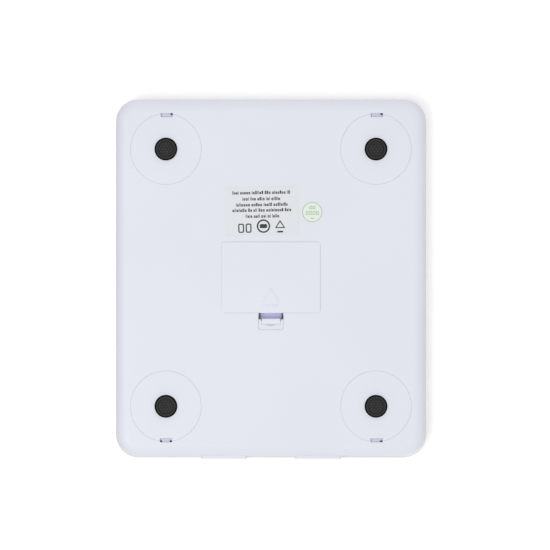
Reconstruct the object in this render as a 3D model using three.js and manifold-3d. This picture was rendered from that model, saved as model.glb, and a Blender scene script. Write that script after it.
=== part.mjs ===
// A flat digital kitchen scale: glass platform on a two-part plastic case, four weighing feet,
// a battery compartment for three AAA cells and two low buttons on the front edge.
// Millimetres, +Z up. The feet stand on z = 0 and the front edge, with the buttons, faces -Y.

import * as THREE from 'three';
import { mergeVertices } from 'three/addons/utils/BufferGeometryUtils.js';
import Module from 'manifold-3d';

const wasm = await Module();
wasm.setup();

// ---------- driving dimensions ----------

const GAP = 0.3;                        // clearance between neighbouring pieces
const OVERLAP = 0.5;                    // how far joined shapes run into each other
// The glass plate sits a little towards the front of the case.
const PLATFORM = { width: 177.2, depth: 203.6, corner: 13, thickness: 3, forward: 0.8 };
const HEIGHT = 21;                      // floor to the top of the glass
const CASE_INSET = 0.8;                 // how far the case stands inside the glass
const WALL = 2;
const BASE_Z = 2;                       // underside of the case
const FLOOR_TOP = 3.8;                  // inside of the case floor
const SEAM_Z = 13.5;                    // top of the bottom case wall
const EDGE_ROLL = 6;                    // radius of the rolled lower edge
const TOP_PLATE = { low: 16.1, high: 17.3 };
const LIP = { drop: 1.2, thickness: 1.2, cableHalfWidth: 42, cableDepth: 6, cableTop: 14.5 };
const TAPE_LAYER = { low: 17.4, high: 17.6, inset: 1, width: 8 };
const PRINT_LAYER = { low: 17.7, high: 17.9, inset: 0.5, windowCorner: 1.5 };
const ROUND = { large: 28, small: 12, corner: 2 };

const CASE = {
  width: PLATFORM.width - 2 * CASE_INSET,
  depth: PLATFORM.depth - 2 * CASE_INSET,
  corner: PLATFORM.corner - CASE_INSET,
};
const CASE_FRONT = -CASE.depth / 2;

const FOOT = { x: 59.3, front: -72.6, rear: 72.6 };
const DISC = { radius: 19.9, low: 1.8, high: 3.8, flange: 21.6, flangeLow: 4.1, flangeHigh: 5 };
const NOTCH = { halfWidth: 3.4, inner: 18, outer: 22.5 };
const LUG = { short: 2.2, long: 3.2, inner: 18.3, low: 2.9 };
const PAD = { radius: 6.4, top: 2.7, sole: 5.2 };
const SEAT = { top: 6.1, play: 0.5 };
const CARRIER = { inner: 13, shelf: 22, low: 6.4, shelfTop: 7.4, top: 9.2 };
const CELL_PLATE = { size: 28, corner: 3, low: 7.7, high: 8.9, rim: 4, slot: 1.5, root: 5 };

const DOOR = { halfWidth: 27.75, front: -19.85, rear: 20.15, corner: 1.4 };
const TUB = { halfWidth: 26.5, front: -16.7, rear: 17.1, top: 15, roof: 15.8, wall: 1.5 };
const LEDGE = { low: 4.1, high: 5.5, width: 3.4, reach: 1.4 };
const LATCH = {
  halfWidth: 5.2, rootHalfWidth: 6.05, thickness: 1.1, archY: -21.75, archZ: 6.5, hollow: 3.5,
};
const TAB = { low: 2.3, high: 3.4 };
const RECESS = { halfWidth: 7.35, front: -29.7, depth: 1, corner: 1.5, wall: 1.4 };
// The well behind the recess, where the latch moves: its floor has a wide and a narrow opening.
const WELL = {
  halfWidth: 6.9, narrow: 5.6, back: -18.4, step: -23.5, front: -26.4, undercut: 1.1, low: 4.2, top: 10.2,
};
const NAIL_NOTCH = { y: -23.2, radius: 4.1 };
const HINGE_TAB = { x: 15, halfWidth: 3, front: 18.9, step: 20.1, rear: 22.1, low: 4.1, high: 5.1 };
const HINGE_SLOT = { play: 0.4, reach: 3, high: 6.8 };

const BATTERY = { radius: 5.25, length: 44.5, pitch: 11, y: 0.2, z: 9.55, nub: 1.9, nubLength: 1.2 };
const CONTACT = { thickness: 0.3, halfWidth: 4, low: 5.6, high: 13.5, tail: 4, tailHalfWidth: 1 };
const SPRING = { turns: 3, wide: 3.4, narrow: 2, length: 2.3, wire: 0.28 };

const BUTTON = { x: 26.7, width: 25.4, height: 3.6, z: 10.8, proud: 1.7, flange: 1 };
const SWITCH = { front: CASE_FRONT + 5.3, depth: 3.5, halfWidth: 3, halfHeight: 1.9, bore: 1.8 };
const PLUNGER = { radius: 1.5, front: CASE_FRONT + 3.6 };
const BOARD = { halfWidth: 34.5, front: CASE_FRONT + 5, rear: -54, low: 7, high: 8.6 };
const BOARD_POST = { x: 31, rows: [-60, -88], radius: 2.5, top: 6.7 };
const WINDOW = { width: 56, depth: 22, y: -74 };
const LCD = { halfWidth: 31, front: -88.5, rear: -59, low: 15, high: 17.2 };
const BACKLIGHT = { halfWidth: 30, front: -87.5, rear: -62.5, low: 12.2, high: 14.7 };
const SCREW = { x: 76, y: 38 };
const SCREW_POST = { radius: 3.2, bore: 1.4, boreLow: 6, top: 14 };
const SCREW_BOSS = { radius: 3.6, low: 14.3, hole: 1.5, sink: 2.9, sinkLow: 15.6 };
const LABEL = { width: 41.3, depth: 27.1, x: 5.2, y: 37.7, tilt: -1, low: 1.7, high: 1.9 };
const STICKER = { radius: 5.7, x: -23.3, y: 37 };

// ---------- shape helpers ----------

// Turns a three.js geometry into a closed solid whose faces point outwards.
function solid(geometry) {
  const bare = geometry.index ? geometry.toNonIndexed() : geometry.clone();
  bare.deleteAttribute('normal');
  bare.deleteAttribute('uv');
  const merged = mergeVertices(bare, 1e-4);
  const position = merged.attributes.position;
  const corners = [];
  for (let i = 0; i < merged.index.count; i += 3) {
    const [a, b, c] = [0, 1, 2].map((k) => merged.index.getX(i + k));
    if (a !== b && b !== c && c !== a) corners.push(a, b, c);
  }
  const [p, q, r] = [new THREE.Vector3(), new THREE.Vector3(), new THREE.Vector3()];
  let volume = 0;
  for (let i = 0; i < corners.length; i += 3) {
    p.fromBufferAttribute(position, corners[i]);
    q.fromBufferAttribute(position, corners[i + 1]);
    r.fromBufferAttribute(position, corners[i + 2]);
    volume += p.dot(q.cross(r));
  }
  if (volume < 0) corners.reverse();
  return new wasm.Manifold(new wasm.Mesh({
    numProp: 3,
    vertProperties: new Float32Array(position.array),
    triVerts: new Uint32Array(corners),
  }));
}

function join(...solids) {
  return solids.reduce((whole, piece) => whole.add(piece));
}

function cut(whole, ...tools) {
  return tools.reduce((rest, tool) => rest.subtract(tool), whole);
}

function box(x0, x1, y0, y1, z0, z1) {
  const geometry = new THREE.BoxGeometry(x1 - x0, y1 - y0, z1 - z0);
  return solid(geometry.translate((x0 + x1) / 2, (y0 + y1) / 2, (z0 + z1) / 2));
}

function rounded(width, depth, radius, x = 0, y = 0) {
  const shape = new THREE.Shape();
  const [w, d] = [width / 2 - radius, depth / 2 - radius];
  shape.absarc(x + w, y + d, radius, 0, Math.PI / 2);
  shape.absarc(x - w, y + d, radius, Math.PI / 2, Math.PI);
  shape.absarc(x - w, y - d, radius, Math.PI, 1.5 * Math.PI);
  shape.absarc(x + w, y - d, radius, 1.5 * Math.PI, 2 * Math.PI);
  return shape;
}

function slab(shape, z0, z1) {
  const options = { depth: z1 - z0, bevelEnabled: false, curveSegments: ROUND.corner };
  return solid(new THREE.ExtrudeGeometry(shape, options).translate(0, 0, z0));
}

// A tray-shaped block: flat underside, lower edge rolled with the given radius, straight above it.
function rolledBlock(shape, z0, z1, roll) {
  const options = {
    depth: z1 - z0,
    bevelThickness: roll,
    bevelSize: roll,
    bevelOffset: -roll,
    bevelSegments: 3,
    curveSegments: ROUND.corner,
  };
  const block = solid(new THREE.ExtrudeGeometry(shape, options).translate(0, 0, z0 + roll));
  const reach = PLATFORM.depth;
  return block.intersect(box(-reach, reach, -reach, reach, z0, z1));
}

// Turns a list of [radius, z] points about the Z axis.
function turned(points, segments) {
  const profile = points.map(([radius, z]) => new THREE.Vector2(radius, z));
  return solid(new THREE.LatheGeometry(profile, segments).rotateX(Math.PI / 2));
}

function rod(x, y, radius, z0, z1, segments = ROUND.small) {
  return turned([[0, z0], [radius, z0], [radius, z1], [0, z1]], segments).translate(x, y, 0);
}

function tube(x, y, inner, outer, z0, z1, segments = ROUND.small) {
  const profile = [[inner, z0], [outer, z0], [outer, z1], [inner, z1], [inner, z0]];
  return turned(profile, segments).translate(x, y, 0);
}

// Extrudes an outline drawn in (y, z) along X.
function alongX(shape, x0, x1) {
  const options = { depth: x1 - x0, bevelEnabled: false, curveSegments: ROUND.corner };
  const toSide = new THREE.Matrix4().makeBasis(
    new THREE.Vector3(0, 1, 0), new THREE.Vector3(0, 0, 1), new THREE.Vector3(1, 0, 0));
  const geometry = new THREE.ExtrudeGeometry(shape, options).applyMatrix4(toSide);
  return solid(geometry.translate(x0, 0, 0));
}

// Extrudes an outline drawn in (x, z) along Y.
function alongY(shape, y0, y1) {
  const options = { depth: y1 - y0, bevelEnabled: false, curveSegments: ROUND.corner };
  const geometry = new THREE.ExtrudeGeometry(shape, options).rotateX(Math.PI / 2);
  return solid(geometry.translate(0, y1, 0));
}

function wire(curve, radius, steps, sides = 5) {
  const section = new THREE.Shape();
  for (let i = 0; i < sides; i += 1) {
    const angle = (2 * Math.PI * i) / sides;
    const [x, y] = [radius * Math.cos(angle), radius * Math.sin(angle)];
    if (i === 0) section.moveTo(x, y);
    else section.lineTo(x, y);
  }
  return solid(new THREE.ExtrudeGeometry(section, { steps, extrudePath: curve }));
}

class ConeHelix extends THREE.Curve {
  constructor(turns, wideRadius, narrowRadius, length) {
    super();
    Object.assign(this, { turns, wideRadius, narrowRadius, length });
  }

  getPoint(t, target = new THREE.Vector3()) {
    const angle = 2 * Math.PI * this.turns * t;
    const radius = THREE.MathUtils.lerp(this.wideRadius, this.narrowRadius, t);
    return target.set(this.length * t, radius * Math.cos(angle), radius * Math.sin(angle));
  }
}

// ---------- materials ----------

function material(color, roughness, metalness = 0) {
  return new THREE.MeshStandardMaterial({ color, roughness, metalness, flatShading: true });
}

const WHITE_PLASTIC = material('#e4e7f0', 0.45);
const CLEAR_GLASS = material('#eef3f1', 0.08);
const WHITE_PRINT = material('#e9eae8', 0.5);
const FOAM_TAPE = material('#d9d6cc', 0.8);
const RUBBER = material('#2b2b2b', 0.85);
const STEEL = material('#9fa3a6', 0.35, 1);
const NICKEL = material('#c9cac4', 0.3, 1);
const BOARD_GREEN = material('#1f6b3c', 0.5);
const BLACK_RESIN = material('#141414', 0.4);
const BLACK_PLASTIC = material('#1c1c1e', 0.5);
const SHIELD = material('#b8babd', 0.35, 1);
const LCD_GREY = material('#5a6468', 0.15);
const LIGHT_GUIDE = material('#f2f4f5', 0.5);
const LABEL_FILM = material('#e3e8e9', 0.55);
const STICKER_FILM = material('#dcefdc', 0.4);
const CELL_JACKET = material('#3f5f7a', 0.4);
const RED_WIRE = material('#b02525', 0.6);
const BLACK_WIRE = material('#202020', 0.6);
const WHITE_WIRE = material('#dcdcdc', 0.6);

const scale = new THREE.Group();
// The buttons stand proud of the case's front wall, so the case sits half of that behind the origin.
scale.position.y = BUTTON.proud / 2;

function add(name, piece, look, parent = scale) {
  const data = piece.getMesh();
  const geometry = new THREE.BufferGeometry();
  geometry.setAttribute('position', new THREE.BufferAttribute(data.vertProperties, 3));
  geometry.setIndex(new THREE.BufferAttribute(data.triVerts, 1));
  geometry.computeVertexNormals();
  const mesh = new THREE.Mesh(geometry, look);
  mesh.name = name;
  parent.add(mesh);
  return mesh;
}

const SIDES = [['left', -1], ['right', 1]];
const FEET = [['front', FOOT.front, -1], ['rear', FOOT.rear, 1]].flatMap(([row, y, outward]) =>
  SIDES.map(([side, sign]) => {
    const lug = outward < 0 && sign > 0 ? LUG.short : LUG.long;
    return { name: `${row}_${side}`, x: sign * FOOT.x, y, outward, lug };
  }));
const SCREW_SPOTS = [-1, 1].flatMap((sy) => SIDES.map(([side, sx]) => (
  { name: `${sy < 0 ? 'front' : 'rear'}_${side}`, x: sx * SCREW.x, y: sy * SCREW.y })));

// ---------- case ----------

function caseOutline(inset) {
  return rounded(CASE.width - 2 * inset, CASE.depth - 2 * inset, CASE.corner - inset);
}

function buttonOutline(x, clearance) {
  const height = BUTTON.height + 2 * clearance;
  return rounded(BUTTON.width + 2 * clearance, height, height / 2 - 0.01, x, BUTTON.z);
}

// Cuts the shallow finger recess, the well above it and the openings between the two.
function cutLatchWell(shell) {
  const r = RECESS;
  const w = WELL;
  const depth = DOOR.front - r.front;
  const recess = rounded(2 * r.halfWidth, depth, r.corner, 0, r.front + depth / 2);
  return cut(shell,
    slab(recess, 0, BASE_Z + r.depth),
    box(-w.halfWidth, w.halfWidth, w.front - w.undercut, w.back, w.low, w.top),
    box(-w.halfWidth, w.halfWidth, w.step, w.back, 0, w.top),
    box(-w.narrow, w.narrow, w.front, w.step + 1, 0, w.top),
    rod(0, NAIL_NOTCH.y, NAIL_NOTCH.radius, 0, w.low + 0.5, ROUND.large));
}

function batteryTub() {
  const [w, wall] = [TUB.halfWidth, TUB.wall];
  const walls = box(-w - wall, w + wall, TUB.front - wall, TUB.rear + wall, FLOOR_TOP, TUB.roof);
  const ledge = box(-w - LEDGE.width, w + LEDGE.width, DOOR.front - LEDGE.reach, DOOR.rear + LEDGE.reach,
    FLOOR_TOP - OVERLAP, LEDGE.high);
  return join(walls, ledge);
}

function footSeat(foot) {
  return tube(foot.x, foot.y, DISC.flange + SEAT.play, DISC.flange + WALL, FLOOR_TOP - OVERLAP, SEAT.top,
    ROUND.large);
}

function footLug(foot) {
  const ends = [foot.y + foot.outward * LUG.inner, foot.y + foot.outward * (DISC.radius + 1.2)];
  return box(foot.x - LUG.short, foot.x + foot.lug, Math.min(...ends), Math.max(...ends),
    LUG.low, FLOOR_TOP);
}

function bottomCase() {
  const block = rolledBlock(caseOutline(0), BASE_Z, SEAM_Z, EDGE_ROLL);
  const hollow = rolledBlock(caseOutline(WALL), FLOOR_TOP, SEAM_Z + 1, EDGE_ROLL - WALL);
  let shell = cut(block, hollow);
  shell = join(shell, batteryTub(), ...FEET.map(footSeat));
  const pocketWidth = RECESS.halfWidth + RECESS.wall;
  shell = join(shell, box(-pocketWidth, pocketWidth, RECESS.front - RECESS.wall, TUB.front,
    BASE_Z + RECESS.depth, WELL.top + RECESS.wall));
  const low = FLOOR_TOP - OVERLAP;
  for (const spot of SCREW_SPOTS) {
    const post = SCREW_POST;
    shell = join(shell, rod(spot.x, spot.y, post.radius, low, post.top));
    shell = cut(shell, rod(spot.x, spot.y, post.bore, post.boreLow, post.top + 1));
  }
  for (const [, sign] of SIDES) {
    for (const y of BOARD_POST.rows) {
      shell = join(shell, rod(sign * BOARD_POST.x, y, BOARD_POST.radius, low, BOARD_POST.top));
    }
  }
  const [w, d] = [TUB.halfWidth, DOOR.halfWidth + GAP];
  shell = cut(shell,
    box(-w, w, TUB.front, TUB.rear, 0, TUB.top),
    box(-d, d, DOOR.front - GAP, DOOR.rear + GAP, 0, LEDGE.low));
  shell = cutLatchWell(shell);
  for (const [, sign] of SIDES) {
    const x = sign * HINGE_TAB.x;
    const reach = HINGE_TAB.halfWidth + HINGE_SLOT.play;
    const tailY = contactY(-sign);
    const tailReach = CONTACT.tailHalfWidth + OVERLAP;
    shell = cut(shell,
      box(x - reach, x + reach, TUB.rear - OVERLAP, DOOR.rear + HINGE_SLOT.reach, FLOOR_TOP,
        HINGE_SLOT.high),
      alongY(buttonOutline(sign * BUTTON.x, GAP), CASE_FRONT - 1, CASE_FRONT + WALL + OVERLAP),
      box(sign * TUB.halfWidth - 3, sign * TUB.halfWidth + 3, tailY - tailReach, tailY + tailReach,
        CONTACT.high - 2 * GAP, CONTACT.high + GAP));
  }
  for (const foot of FEET) {
    shell = cut(shell, rod(foot.x, foot.y, DISC.radius + GAP, 0, FLOOR_TOP + OVERLAP, ROUND.large));
    shell = join(shell, footLug(foot));
  }
  return shell;
}

function topCase() {
  const rim = slab(caseOutline(0), SEAM_Z + GAP, TOP_PLATE.high);
  let shell = cut(rim, slab(caseOutline(WALL), SEAM_Z, TOP_PLATE.low));
  const lip = cut(slab(caseOutline(WALL + GAP), SEAM_Z - LIP.drop, TOP_PLATE.low + OVERLAP),
    slab(caseOutline(WALL + GAP + LIP.thickness), SEAM_Z - 2 * LIP.drop, TOP_PLATE.low));
  const l = LIP;
  const wayForButtons = box(-l.cableHalfWidth, l.cableHalfWidth, CASE_FRONT, CASE_FRONT + l.cableDepth,
    0, l.cableTop);
  shell = join(shell, cut(lip, wayForButtons));
  const boss = SCREW_BOSS;
  for (const spot of SCREW_SPOTS) {
    shell = join(shell, rod(spot.x, spot.y, boss.radius, boss.low, TOP_PLATE.low + OVERLAP));
    shell = cut(shell, rod(spot.x, spot.y, boss.hole, boss.low - 1, HEIGHT),
      rod(spot.x, spot.y, boss.sink, boss.sinkLow, HEIGHT));
  }
  const play = 2 * GAP;
  return cut(shell, box(-LCD.halfWidth - play, LCD.halfWidth + play, LCD.front - play, LCD.rear + play,
    boss.low, HEIGHT));
}

function caseScrew() {
  return turned([[0, 6.5], [1.1, 6.9], [1.1, 15.9], [2.5, 15.9], [2.5, 16.7], [1.8, 17], [0, 17]], 12);
}

// ---------- platform ----------

function platformGlass() {
  const bevel = 0.4;
  const options = {
    depth: PLATFORM.thickness - 2 * bevel,
    bevelThickness: bevel,
    bevelSize: bevel,
    bevelOffset: -bevel,
    bevelSegments: 2,
    curveSegments: ROUND.corner,
  };
  const outline = rounded(PLATFORM.width, PLATFORM.depth, PLATFORM.corner);
  const low = HEIGHT - PLATFORM.thickness;
  return solid(new THREE.ExtrudeGeometry(outline, options).translate(0, -PLATFORM.forward, low + bevel));
}

function platformPrint() {
  const { low, high, inset, windowCorner } = PRINT_LAYER;
  const outline = rounded(PLATFORM.width - 2 * inset, PLATFORM.depth - 2 * inset, PLATFORM.corner - inset,
    0, -PLATFORM.forward);
  const hole = rounded(WINDOW.width, WINDOW.depth, windowCorner, 0, WINDOW.y);
  return cut(slab(outline, low, high), slab(hole, low - 1, high + 1));
}

function platformTape() {
  const { low, high, inset, width } = TAPE_LAYER;
  return cut(slab(caseOutline(inset), low, high), slab(caseOutline(inset + width), low - 1, high + 1));
}

// ---------- feet ----------

function footDisc(outward) {
  const disc = turned([
    [0, PAD.top + GAP], [PAD.radius + GAP, PAD.top + GAP], [PAD.radius + GAP, DISC.low],
    [DISC.radius - 0.4, DISC.low], [DISC.radius, DISC.low + 0.4], [DISC.radius, DISC.flangeLow],
    [DISC.flange, DISC.flangeLow], [DISC.flange, DISC.flangeHigh], [18.6, DISC.flangeHigh],
    [18, DISC.high], [7.4, DISC.high], [7, 7], [0, 7],
  ], ROUND.large);
  const ends = [outward * NOTCH.inner, outward * NOTCH.outer];
  return cut(disc, box(-NOTCH.halfWidth, NOTCH.halfWidth, Math.min(...ends), Math.max(...ends), 0, 8));
}

function footPad() {
  const r = PAD.radius;
  const profile = [[0, 0], [PAD.sole, 0], [r - 0.4, 0.35], [r, 1], [r, PAD.top], [0, PAD.top]];
  return turned(profile, ROUND.large);
}

function loadCellCarrier() {
  const outer = DISC.flange + WALL;
  const { inner, shelf, low, shelfTop, top } = CARRIER;
  return turned([
    [inner, low], [outer, low], [outer, top], [shelf, top], [shelf, shelfTop], [inner, shelfTop], [inner, low],
  ], ROUND.large);
}

// A spring-steel plate: a U-shaped slot leaves a tongue in the middle that bends under load.
function loadCell() {
  const { size, corner, low, high, rim, slot, root } = CELL_PLATE;
  const edge = size / 2 - rim;
  const plate = slab(rounded(size, size, corner), low, high);
  return cut(plate,
    box(-edge, -edge + slot, -edge, size / 2 - root, 0, HEIGHT),
    box(edge - slot, edge, -edge, size / 2 - root, 0, HEIGHT),
    box(-edge, edge, -edge, -edge + slot, 0, HEIGHT));
}

function addFoot(foot) {
  const group = new THREE.Group();
  group.position.set(foot.x, foot.y, 0);
  scale.add(group);
  add(`foot_disc_${foot.name}`, footDisc(foot.outward), WHITE_PLASTIC, group);
  add(`foot_pad_${foot.name}`, footPad(), RUBBER, group);
  add(`load_cell_carrier_${foot.name}`, loadCellCarrier(), WHITE_PLASTIC, group);
  add(`load_cell_${foot.name}`, loadCell(), STEEL, group);
}

// ---------- battery compartment ----------

// Half of the latch's bend, from the given angle to the next, about the arch centre.
function latchBend(from, to, halfWidth) {
  const inner = LATCH.hollow / 2;
  const shape = new THREE.Shape();
  shape.absarc(LATCH.archY, LATCH.archZ, inner + LATCH.thickness, from, to, false);
  shape.absarc(LATCH.archY, LATCH.archZ, inner, to, from, true);
  return alongX(shape, -halfWidth, halfWidth);
}

function batteryDoor() {
  const outline = rounded(2 * DOOR.halfWidth, DOOR.rear - DOOR.front, DOOR.corner, 0,
    (DOOR.rear + DOOR.front) / 2);
  const plate = slab(outline, BASE_Z, FLOOR_TOP);
  const w = LATCH.rootHalfWidth;
  const legY = LATCH.archY + LATCH.hollow / 2;
  const leg = box(-w, w, legY, legY + LATCH.thickness, FLOOR_TOP - OVERLAP, LATCH.archZ + 0.01);
  const t = HINGE_TAB;
  const tabs = SIDES.flatMap(([, sign]) => {
    const [x0, x1] = [-1, 1].map((end) => sign * t.x + end * t.halfWidth);
    return [
      box(x0, x1, t.front, t.step, FLOOR_TOP - OVERLAP, t.high),
      box(x0, x1, t.front, t.rear, t.low, t.high),
    ];
  });
  return join(plate, leg, latchBend(0, THREE.MathUtils.degToRad(84), w), ...tabs);
}

function doorLatch() {
  const w = LATCH.halfWidth;
  const legY = LATCH.archY - LATCH.hollow / 2;
  const leg = box(-w, w, legY - LATCH.thickness, legY, TAB.low + 0.1, LATCH.archZ + 0.01);
  const tab = box(-w, w, WELL.front + GAP, legY, TAB.low, TAB.high);
  return join(leg, tab, latchBend(THREE.MathUtils.degToRad(96), Math.PI, w));
}

// Cells lie along X. The middle one is turned the other way, so that the three are in series.
const CELL_ROWS = [['front', -1, 1], ['middle', 0, -1], ['rear', 1, 1]];

function contactY(row) {
  return BATTERY.y + row * BATTERY.pitch;
}

function batteryCell() {
  const [r, half] = [BATTERY.radius, BATTERY.length / 2];
  const shoulder = half - BATTERY.nubLength;
  const body = turned([
    [0, -half + 0.2], [3.4, -half + 0.2], [3.4, -half], [r - 0.4, -half], [r, -half + 0.4],
    [r, shoulder - 0.4], [r - 0.4, shoulder], [BATTERY.nub, shoulder], [BATTERY.nub, half - 0.2],
    [BATTERY.nub - 0.3, half], [0, half],
  ], 16);
  return body.rotate([0, 90, 0]);
}

function contactPlate(rows, side) {
  const wallX = side * (TUB.halfWidth - GAP);
  const innerX = wallX - side * CONTACT.thickness;
  const [x0, x1] = [Math.min(wallX, innerX), Math.max(wallX, innerX)];
  const [first, last] = [contactY(rows[0]), contactY(rows[rows.length - 1])];
  const plate = box(x0, x1, first - CONTACT.halfWidth, last + CONTACT.halfWidth, CONTACT.low, CONTACT.high);
  if (rows.length > 1) return plate;
  const endX = side * (TUB.halfWidth + CONTACT.tail);
  const reach = CONTACT.tailHalfWidth;
  return join(plate, box(Math.min(innerX, endX), Math.max(innerX, endX), first - reach, first + reach,
    CONTACT.high - CONTACT.thickness, CONTACT.high));
}

function contactSpring() {
  return wire(new ConeHelix(SPRING.turns, SPRING.wide, SPRING.narrow, SPRING.length), SPRING.wire, 24, 4);
}

function addBatteries() {
  for (const [name, row, facing] of CELL_ROWS) {
    const cell = add(`battery_cell_${name}`, batteryCell(), CELL_JACKET);
    cell.position.set(0, contactY(row), BATTERY.z);
    cell.rotation.z = facing < 0 ? Math.PI : 0;
    const spring = add(`contact_spring_${name}`, contactSpring(), NICKEL);
    spring.position.set(-facing * (TUB.halfWidth - 1), contactY(row), BATTERY.z);
    spring.rotation.z = facing < 0 ? Math.PI : 0;
  }
  add('contact_single_left', contactPlate([1], -1), NICKEL);
  add('contact_pair_left', contactPlate([-1, 0], -1), NICKEL);
  add('contact_single_right', contactPlate([-1], 1), NICKEL);
  add('contact_pair_right', contactPlate([0, 1], 1), NICKEL);
}

// ---------- buttons and electronics ----------

function button(x) {
  const front = CASE_FRONT - BUTTON.proud;
  const inside = CASE_FRONT + WALL + GAP;
  const cap = alongY(buttonOutline(x, 0), front, inside + 0.5);
  const half = BUTTON.width / 2 + BUTTON.flange;
  const rise = BUTTON.height / 2 + BUTTON.flange - 0.2;
  return join(cap, box(x - half, x + half, inside, inside + 1, BUTTON.z - rise, BUTTON.z + rise));
}

function switchBody(x) {
  const [w, h] = [SWITCH.halfWidth, SWITCH.halfHeight];
  const body = box(x - w, x + w, SWITCH.front, SWITCH.front + SWITCH.depth, BUTTON.z - h, BUTTON.z + h);
  return cut(body, boreAlongY(x, SWITCH.bore, SWITCH.front - 1, SWITCH.front + 1.5));
}

function boreAlongY(x, radius, y0, y1) {
  const circle = new THREE.Shape();
  circle.absarc(x, BUTTON.z, radius, 0, 2 * Math.PI);
  return alongY(circle, y0, y1);
}

function switchPlunger(x) {
  return boreAlongY(x, PLUNGER.radius, PLUNGER.front, SWITCH.front + OVERLAP);
}

function addBoard() {
  const b = BOARD;
  add('main_board', box(-b.halfWidth, b.halfWidth, b.front, b.rear, b.low, b.high), BOARD_GREEN);
  const top = b.high + 0.1;
  const drop = turned([[0, top], [6, top], [4.6, top + 1], [2.4, top + 1.5], [0, top + 1.6]], ROUND.small);
  add('controller_drop', drop.translate(0, -75, 0), BLACK_RESIN);
  add('converter_chip', box(15, 21, -69, -64, top, top + 1.5), BLACK_PLASTIC);
  add('radio_module', box(-27, -13, -72, -62, top, top + 2), SHIELD);
  add('crystal', slab(rounded(4.6, 2.2, 1, 8, -84), top, top + 1.4), SHIELD);
  for (const [side, sign] of SIDES) {
    const x = sign * BUTTON.x;
    add(`button_${side}`, button(x), WHITE_PLASTIC);
    add(`switch_${side}`, switchBody(x), BLACK_PLASTIC);
    add(`switch_plunger_${side}`, switchPlunger(x), BLACK_PLASTIC);
  }
}

function addDisplay() {
  const plate = ({ halfWidth, front, rear, low, high }) => box(-halfWidth, halfWidth, front, rear, low, high);
  add('lcd_glass', plate(LCD), LCD_GREY);
  add('lcd_backlight', plate(BACKLIGHT), LIGHT_GUIDE);
  add('lcd_contact_strip', box(-27, 27, -61.5, -59.5, BOARD.high + GAP, LCD.low - GAP), BLACK_PLASTIC);
}

// ---------- leads ----------

function lead(points, radius = 0.6) {
  const curve = new THREE.CatmullRomCurve3(points.map((point) => new THREE.Vector3(...point)));
  return wire(curve, radius, Math.ceil(curve.getLength() / 6));
}

function addLeads() {
  for (const [side, sign] of SIDES) {
    const cellEdge = FOOT.x - 13;
    add(`cell_lead_rear_${side}`, lead([
      [sign * cellEdge, FOOT.rear, 9.9], [sign * 38, 62, 11.2], [sign * 34.2, 36, 10.5],
      [sign * 33.8, 0, 9.6], [sign * 33.4, -36, 9.6], [sign * 30.5, -57, 9.6],
    ]), WHITE_WIRE);
    add(`cell_lead_front_${side}`, lead([
      [sign * cellEdge, FOOT.front, 9.9], [sign * 39.5, -71, 11.4], [sign * 34, -69, 10.8],
      [sign * 31, -68, 9.7],
    ]), WHITE_WIRE);
    const start = contactY(-sign);
    add(`battery_lead_${side}`, lead([
      [sign * 31.4, start - 0.6, 13], [sign * 31.2, start - 6, 12.4], [sign * 31, -30, 11],
      [sign * 26.5, -50, 10], [sign * 24.5, -57, 9.6],
    ]), sign > 0 ? RED_WIRE : BLACK_WIRE);
  }
}

// ---------- stickers ----------

function addStickers() {
  const { width, depth, x, y, tilt, low, high } = LABEL;
  const label = add('rating_label', slab(rounded(width, depth, 1), low, high), LABEL_FILM);
  label.position.set(x, y, 0);
  label.rotation.z = THREE.MathUtils.degToRad(tilt);
  const disc = rod(STICKER.x, STICKER.y, STICKER.radius, low, high, ROUND.large);
  add('inspection_sticker', disc, STICKER_FILM);
}

// ---------- assembly ----------

add('bottom_case', bottomCase(), WHITE_PLASTIC);
add('top_case', topCase(), WHITE_PLASTIC);
add('platform_glass', platformGlass(), CLEAR_GLASS);
add('platform_print', platformPrint(), WHITE_PRINT);
add('platform_tape', platformTape(), FOAM_TAPE);
for (const spot of SCREW_SPOTS) {
  add(`case_screw_${spot.name}`, caseScrew(), STEEL).position.set(spot.x, spot.y, 0);
}
FEET.forEach(addFoot);
add('battery_door', batteryDoor(), WHITE_PLASTIC);
add('door_latch', doorLatch(), WHITE_PLASTIC);
addBatteries();
addBoard();
addDisplay();
addLeads();
addStickers();

export default scale;
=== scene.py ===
"""Looks for a flat digital kitchen scale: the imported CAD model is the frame, and this script dresses it.

Shapes are drawn in millimetres in the case's own frame, with the origin at the middle of the case and z = 0
at the floor, and are turned into metres in the row frame when a piece is finished.
"""

import math
import random

import bmesh
import bpy
from mathutils import Matrix, Vector


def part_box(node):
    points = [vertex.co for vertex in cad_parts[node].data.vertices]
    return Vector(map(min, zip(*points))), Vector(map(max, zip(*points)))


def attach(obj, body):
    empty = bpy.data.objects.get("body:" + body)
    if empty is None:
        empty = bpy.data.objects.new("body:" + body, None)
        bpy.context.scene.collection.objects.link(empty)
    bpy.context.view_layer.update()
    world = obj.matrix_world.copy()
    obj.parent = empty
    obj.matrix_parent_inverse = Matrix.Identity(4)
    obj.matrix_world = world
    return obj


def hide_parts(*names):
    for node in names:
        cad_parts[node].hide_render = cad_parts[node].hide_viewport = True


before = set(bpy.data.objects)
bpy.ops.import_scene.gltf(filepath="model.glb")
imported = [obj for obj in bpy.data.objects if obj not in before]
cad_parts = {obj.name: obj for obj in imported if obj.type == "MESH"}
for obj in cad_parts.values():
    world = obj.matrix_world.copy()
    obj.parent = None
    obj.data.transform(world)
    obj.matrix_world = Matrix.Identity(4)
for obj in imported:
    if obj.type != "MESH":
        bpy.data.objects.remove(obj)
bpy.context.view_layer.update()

# ---------- driving dimensions, in millimetres ----------

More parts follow.
